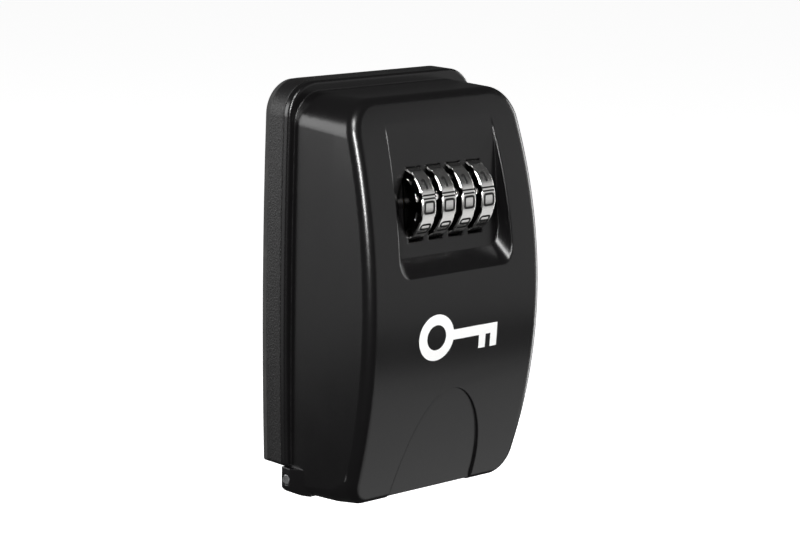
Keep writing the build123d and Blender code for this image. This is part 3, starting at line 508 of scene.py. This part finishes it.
def add_patch(bm, columns, rows, point):
    """Closed thin sheet over the front; point(s, t) gives its place for s, t in 0 to 1."""

    def layer(height):
        return [
            [bm.verts.new(on_front(*point(i / columns, j / rows), height)) for j in range(rows + 1)]
            for i in range(columns + 1)
        ]

    upper, lower = layer(KEY_PROUD), layer(-KEY_SUNK)
    for i in range(columns):
        for j in range(rows):
            bm.faces.new((upper[i][j], upper[i + 1][j], upper[i + 1][j + 1], upper[i][j + 1]))
            bm.faces.new((lower[i][j], lower[i][j + 1], lower[i + 1][j + 1], lower[i + 1][j]))
    rim = [(i, 0) for i in range(columns)]
    rim += [(columns, j) for j in range(rows)]
    rim += [(columns - i, rows) for i in range(columns)]
    rim += [(0, rows - j) for j in range(rows)]
    for (a, b), (c, d) in zip(rim, rim[1:] + rim[:1]):
        bm.faces.new((upper[a][b], lower[a][b], lower[c][d], upper[c][d]))


KEY_CENTRE = Vector((0.5 * MM, -11.6 * MM))
KEY_LENGTH = 31 * MM
BOW_R = 6.8 * MM
BOW_HOLE_R = 3.7 * MM
SHAFT_HALF = 1.5 * MM
BIT_DEPTH = 4.0 * MM
BIT_WIDTH = 2.6 * MM
BIT_PITCH = 4.6 * MM
bow = KEY_CENTRE + Vector((-KEY_LENGTH / 2 + BOW_R, 0))
tip = KEY_CENTRE.x + KEY_LENGTH / 2
key_mesh = bmesh.new()


def ring_point(s, t):
    """Place on the round bow."""
    angle = math.tau * s
    reach = BOW_HOLE_R + (BOW_R - BOW_HOLE_R) * t
    return bow.x + reach * math.cos(angle), bow.y + reach * math.sin(angle)


def shaft_point(s, t):
    """Place on the shaft, which starts on the bow's outer edge."""
    v = SHAFT_HALF * (2 * t - 1)
    start = bow.x + math.sqrt(BOW_R**2 - v**2)
    return start + (tip - start) * s, bow.y + v


add_patch(key_mesh, 72, 10, ring_point)
add_patch(key_mesh, 60, 8, shaft_point)
for from_tip in (0.0, BIT_PITCH):
    left = tip - BIT_WIDTH - from_tip

    def bit_point(s, t, left=left):
        return left + BIT_WIDTH * s, bow.y - SHAFT_HALF - BIT_DEPTH * t

    add_patch(key_mesh, 8, 12, bit_point)
pictogram = make_piece("key_pictogram", key_mesh, WHITE_INK, "door")


# ---------------------------------------------------------------- floor
FLOOR_Z = -0.25
FLOOR_HALF = 6.0
floor_mesh = bmesh.new()
bmesh.ops.create_grid(floor_mesh, x_segments=24, y_segments=24, size=FLOOR_HALF)
floor_data = bpy.data.meshes.new("studio_floor")
floor_mesh.to_mesh(floor_data)
floor_mesh.free()
floor = bpy.data.objects.new("studio_floor", floor_data)
floor.location.z = FLOOR_Z
bpy.context.scene.collection.objects.link(floor)
floor_graph = Graph("studio_floor")
floor_graph.feed(
    floor_graph.shader,
    Base_Color=floor_graph.ramp(floor_graph.noise(FLOOR_CLOUD), (0.88, 0.88, 0.88), (0.9, 0.9, 0.9)),
    Roughness=0.9,
    Emission_Color=(1, 1, 1, 1),
    Emission_Strength=0.9,
)
floor_data.materials.append(floor_graph.material)
floor.visible_glossy = False
floor.visible_diffuse = False


# ---------------------------------------------------------------- light
BACKDROP_STRENGTH = 1.05
AMBIENT_STRENGTH = 0.05


def softbox(name, direction, distance, size, power):
    """Rectangular light in this direction from the object, turned towards it."""
    data = bpy.data.lights.new(name, "AREA")
    data.shape = "RECTANGLE"
    data.size, data.size_y = size
    data.energy = power
    light = bpy.data.objects.new(name, data)
    towards = Vector(direction).normalized()
    light.location = towards * distance
    light.visible_camera = False
    light.rotation_euler = towards.to_track_quat("Z", "Y").to_euler()
    bpy.context.scene.collection.objects.link(light)


softbox("key_box", (-0.72, -0.62, 0.39), 1.1, (0.13, 0.55), 16)
softbox("top_box", (-0.48, -0.42, 0.77), 1.1, (0.4, 0.3), 7)
softbox("side_box", (-0.58, 0.78, 0.21), 1.2, (0.8, 0.5), 5.5)
softbox("side_foot", (-0.60, 0.77, -0.14), 1.2, (0.8, 0.3), 0.35)
softbox("front_fill", (0.63, -0.50, -0.62), 1.3, (1.2, 0.7), 1.9)
softbox("front_wall", (0.66, -0.72, 0.11), 1.6, (1.4, 1.25), 2.9)
softbox("right_strip", (0.96, -0.12, -0.02), 1.2, (0.45, 1.0), 8)

# a white backdrop for the camera, and only a faint light from all round for everything else
world = bpy.data.worlds.new("studio")
bpy.context.scene.world = world
world.use_nodes = True
sky = world.node_tree
sky.nodes.clear()
seen = sky.nodes.new("ShaderNodeBackground")
seen.inputs["Strength"].default_value = BACKDROP_STRENGTH
ambient = sky.nodes.new("ShaderNodeBackground")
ambient.inputs["Strength"].default_value = AMBIENT_STRENGTH
choose = sky.nodes.new("ShaderNodeMixShader")
light_path = sky.nodes.new("ShaderNodeLightPath")
surface = sky.nodes.new("ShaderNodeOutputWorld")
for shader in (seen, ambient):
    shader.inputs["Color"].default_value = (1, 1, 1, 1)
sky.links.new(light_path.outputs["Is Camera Ray"], choose.inputs["Fac"])
sky.links.new(ambient.outputs["Background"], choose.inputs[1])
sky.links.new(seen.outputs["Background"], choose.inputs[2])
sky.links.new(choose.outputs["Shader"], surface.inputs["Surface"])


# ---------------------------------------------------------------- camera
CAMERA_PLACE = Vector((-0.50713, -0.57103, 0.15334))
CAMERA_AZIMUTH = math.radians(42.5928)
CAMERA_DROP = math.radians(11.4196)
CAMERA_ROLL = math.radians(1.1030)
camera_data = bpy.data.cameras.new("camera")
camera_data.lens = 117.018
camera_data.sensor_width = 36
camera_data.clip_start = 0.01
camera = bpy.data.objects.new("camera", camera_data)
forward = Vector(
    (
        math.sin(CAMERA_AZIMUTH) * math.cos(CAMERA_DROP),
        math.cos(CAMERA_AZIMUTH) * math.cos(CAMERA_DROP),
        -math.sin(CAMERA_DROP),
    )
)
level = Vector((math.cos(CAMERA_AZIMUTH), -math.sin(CAMERA_AZIMUTH), 0))
upright = level.cross(forward)
right = level * math.cos(CAMERA_ROLL) + upright * math.sin(CAMERA_ROLL)
up = upright * math.cos(CAMERA_ROLL) - level * math.sin(CAMERA_ROLL)
camera.matrix_world = Matrix.Translation(CAMERA_PLACE) @ Matrix(
    (right, up, -forward)
).transposed().to_4x4()
bpy.context.scene.collection.objects.link(camera)
bpy.context.scene.camera = camera
bpy.context.scene.view_settings.view_transform = "Standard"
